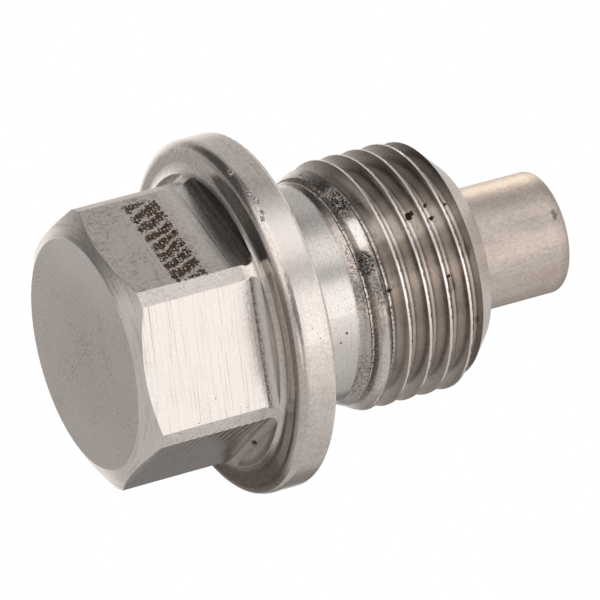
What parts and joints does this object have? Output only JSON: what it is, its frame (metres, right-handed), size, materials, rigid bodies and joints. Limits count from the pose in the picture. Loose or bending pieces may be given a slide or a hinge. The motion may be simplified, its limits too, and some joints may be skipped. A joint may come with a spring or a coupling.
{
  "type": "magnetic oil drain plug",
  "caption": "Hex-head drain plug with a round flange, a plain neck, a metric fine thread and a round bar magnet that stands out of the end of the shank.",
  "frame": {"origin": "centre of the head's end face, on which the plug stands", "axes": "+Z along the thread axis, from the head to the magnet; +X through the middle of a hexagon flat"},
  "size_m": [0.0197, 0.0196, 0.0281],
  "materials": {
    "turned_steel": "turned and milled stainless steel, satin, with fine tool marks",
    "magnet_plating": "smooth nickel-coloured plating, warm grey"
  },
  "bodies": {
    "root": {"plug_body": "turned_steel", "magnet": "magnet_plating"}
  },
  "joints": []
}
